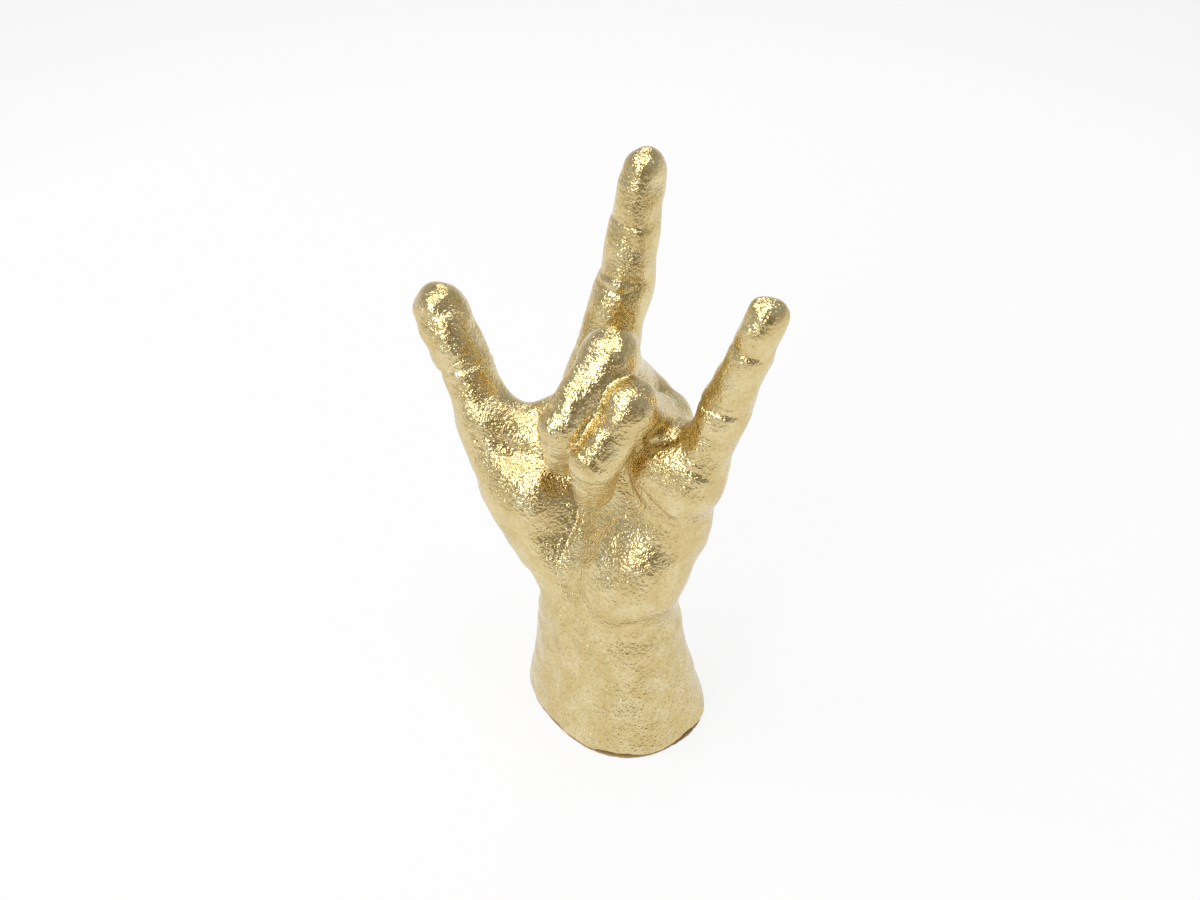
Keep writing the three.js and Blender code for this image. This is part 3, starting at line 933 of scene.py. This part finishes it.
def cleared(mesh):
    """Takes away the crumbs that a saw leaves, so that a piece is one body."""
    ends = np.empty(2 * len(mesh.edges), np.int32)
    mesh.edges.foreach_get("vertices", ends)
    one, other = ends.reshape(-1, 2).T
    body = np.arange(len(mesh.vertices))
    settled = False
    while not settled:
        lower = np.minimum(body[one], body[other])
        joined = body.copy()
        np.minimum.at(joined, one, lower)
        np.minimum.at(joined, other, lower)
        joined = joined[joined]
        settled = np.array_equal(joined, body)
        body = joined
    crumbs = body != np.bincount(body).argmax()
    shape = bmesh.new()
    shape.from_mesh(mesh)
    shape.verts.ensure_lookup_table()
    bmesh.ops.delete(shape, geom=[shape.verts[i] for i in np.flatnonzero(crumbs)], context="VERTS")
    shape.to_mesh(mesh)
    shape.free()


# Where each finger is parted from the palm: across its bone at the seam, and along the line where it touches
# the palm or the next finger
x, y, z = everywhere
seam_margin = 5
tools = {}
for name, finger in {"thumb": thumb, **fingers}.items():
    bone = 1 if name == "thumb" else 0
    joint, ahead = finger["joints"][bone], finger["headings"][bone]
    along = (x - joint[0]) * ahead[0] + (y - joint[1]) * ahead[1] + (z - joint[2]) * ahead[2]
    beyond = (finger["seam"] - along).astype(np.float32)
    others = np.minimum.reduce([clays[other] for other in clays if other != name])
    if name in folded:
        near_end, far_end = empty_block(), empty_block()
        rolls(near_end, *flesh_row(finger, 0, 0), 1)
        rolls(far_end, *flesh_row(finger, 1, 2), 1)
        beyond = np.minimum(beyond, far_end - near_end)
        others = np.minimum(others, palm)
    parted = np.maximum(0.5 * (clays[name] - others), beyond)
    title = name if name == "thumb" else name + "_finger"
    tools[title] = block_piece("tool", np.maximum(parted, clays[name] - seam_margin))

pieces = {"palm": block_piece("palm", hand)}
for title in tools:
    pieces[title] = pieces["palm"].copy()
    pieces[title].data = pieces["palm"].data.copy()
    pieces[title].name = title
    bpy.context.scene.collection.objects.link(pieces[title])
for title, tool in tools.items():
    cut(pieces[title], tool, "INTERSECT")
    cut(pieces["palm"], tool, "DIFFERENCE")
    bpy.data.objects.remove(tool)

# The leaf is on the outside alone, and faces this deep inside the model are bare resin
leaf_depth = 0.8
sharp_corner = math.radians(50)
for title, piece in pieces.items():
    mesh = piece.data
    cleared(mesh)
    mesh.materials.clear()
    mesh.materials.append(leaf_material)
    mesh.materials.append(resin_material)
    centres = np.array([face.center for face in mesh.polygons])
    spots = np.round((1000 * centres - block_low) / cube).astype(int).clip(0, counts - 1)
    bare_resin = solid_hand[tuple(spots.T)] < -leaf_depth
    mesh.polygons.foreach_set("material_index", bare_resin.astype(np.int32))
    mesh.polygons.foreach_set("use_smooth", np.ones(len(mesh.polygons), bool))
    mesh.set_sharp_from_angle(angle=sharp_corner)
    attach(piece, "root")
    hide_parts(title + "_casting")

# Studio
# A wide pale floor that shows white beside the object and keeps its shadow, a pale room that is dimmer higher
# up and has a warm, dim opening to the front right, and four softboxes that hang over the object.
floor_half = 4.0
floor_corners = [(x * floor_half, y * floor_half, 0) for x, y in ((-1, -1), (1, -1), (1, 1), (-1, 1))]
floor_mesh = bpy.data.meshes.new("floor")
floor_mesh.from_pydata(floor_corners, [], [(0, 1, 2, 3)])
floor = bpy.data.objects.new("floor", floor_mesh)
bpy.context.scene.collection.objects.link(floor)

# Painted floor: matt and nearly white. The camera, the gilding and glass see most of it as plain white.
floor_material, floor_surface, floor_place = bare("Pale studio floor")
floor_surface.inputs["Base Color"].default_value = linear("#f4f4f4")
floor_surface.inputs["Roughness"].default_value = 1.0
rays = add(floor_material, "ShaderNodeLightPath", {}, {})
seen_plainly = add(
    floor_material,
    "ShaderNodeMath",
    {"operation": "ADD", "use_clamp": True},
    {0: rays.outputs["Is Camera Ray"], 1: rays.outputs["Is Glossy Ray"]},
)
seen = add(
    floor_material,
    "ShaderNodeMath",
    {"operation": "ADD", "use_clamp": True},
    {0: seen_plainly.outputs[0], 1: rays.outputs["Is Transmission Ray"]},
)
white_share = add(
    floor_material,
    "ShaderNodeMath",
    {"operation": "MULTIPLY", 1: 0.85},
    {0: seen.outputs[0]},
)
off_centre = add(floor_material, "ShaderNodeVectorMath", {"operation": "LENGTH"}, {0: floor_place})
# Painted light: the white glows at full strength within 450 mm of the middle and fades to 0.65 by 1500 mm, a
# pool of light painted on the floor
painted_light_pool = add(
    floor_material,
    "ShaderNodeMapRange",
    {"From Min": 450.0, "From Max": 1500.0, "To Min": 1.0, "To Max": 0.65},
    {"Value": off_centre.outputs["Value"]},
)
white = add(floor_material, "ShaderNodeEmission", {}, {"Strength": painted_light_pool.outputs[0]})
floor_mix = add(
    floor_material,
    "ShaderNodeMixShader",
    {},
    {0: white_share.outputs[0], 1: floor_surface.outputs[0], 2: white.outputs[0]},
)
floor_output = floor_material.node_tree.nodes["Material Output"]
floor_material.node_tree.links.new(floor_mix.outputs[0], floor_output.inputs["Surface"])
floor_mesh.materials.append(floor_material)

world = bpy.data.worlds.new("studio room")
world.use_nodes = True
bpy.context.scene.world = world
room_place = add(world, "ShaderNodeTexCoord", {}, {})
room_height = add(world, "ShaderNodeSeparateXYZ", {}, {0: room_place.outputs["Generated"]})
walls = add(world, "ShaderNodeValToRGB", {}, {0: room_height.outputs["Z"]})
low_wall, high_wall = walls.color_ramp.elements
low_wall.position = 0.05
low_wall.color = (0.65, 0.65, 0.65, 1)
high_wall.position = 0.4
high_wall.color = (0.4, 0.4, 0.4, 1)
to_opening = add(
    world,
    "ShaderNodeVectorMath",
    {"operation": "DOT_PRODUCT", 1: (0.65, -0.73, 0.2)},
    {0: room_place.outputs["Generated"]},
)
opening = add(
    world,
    "ShaderNodeMapRange",
    {"interpolation_type": "SMOOTHSTEP", "From Min": 0.8, "From Max": 0.96},
    {"Value": to_opening.outputs["Value"]},
)
room = add(
    world,
    "ShaderNodeMix",
    {"data_type": "RGBA", 7: linear("#8c8373")},
    {0: opening.outputs[0], 6: walls.outputs[0]},
)
world.node_tree.links.new(room.outputs[2], world.node_tree.nodes["Background"].inputs["Color"])

# Softboxes: place, width of the square screen in metres, and power in watts
softboxes = (
    ((0.0, 0.05, 1.4), 0.7, 4.5),
    ((-0.1, -1.1, 0.95), 0.62, 6.2),
    ((-0.7, -0.33, 1.15), 0.5, 3.5),
    ((-0.75, 1.0, 1.0), 0.5, 2.5),
)
lit_spot = Vector((0, 0, 0.1))
for place, screen_width, power in softboxes:
    lamp = bpy.data.lights.new("softbox", "AREA")
    lamp.size = screen_width
    lamp.energy = power
    holder = bpy.data.objects.new("softbox", lamp)
    holder.location = place
    holder.rotation_euler = (lit_spot - Vector(place)).to_track_quat("-Z", "Y").to_euler()
    bpy.context.scene.collection.objects.link(holder)

# The camera looks down on the palm from the little finger's side
camera_data = bpy.data.cameras.new("camera")
camera_data.lens = 60
camera_data.sensor_width = 36
camera = bpy.data.objects.new("camera", camera_data)
azimuth = math.radians(35.76)
elevation = math.radians(39.9)
camera_distance = 0.6732
target = Vector((-0.00814, 0, 0.11448))
level = math.cos(elevation)
away = Vector((math.sin(azimuth) * level, -math.cos(azimuth) * level, math.sin(elevation)))
camera.location = target + away * camera_distance
camera.rotation_euler = (-away).to_track_quat("-Z", "Y").to_euler()
bpy.context.scene.collection.objects.link(camera)
bpy.context.scene.camera = camera
bpy.context.scene.view_settings.view_transform = "Standard"
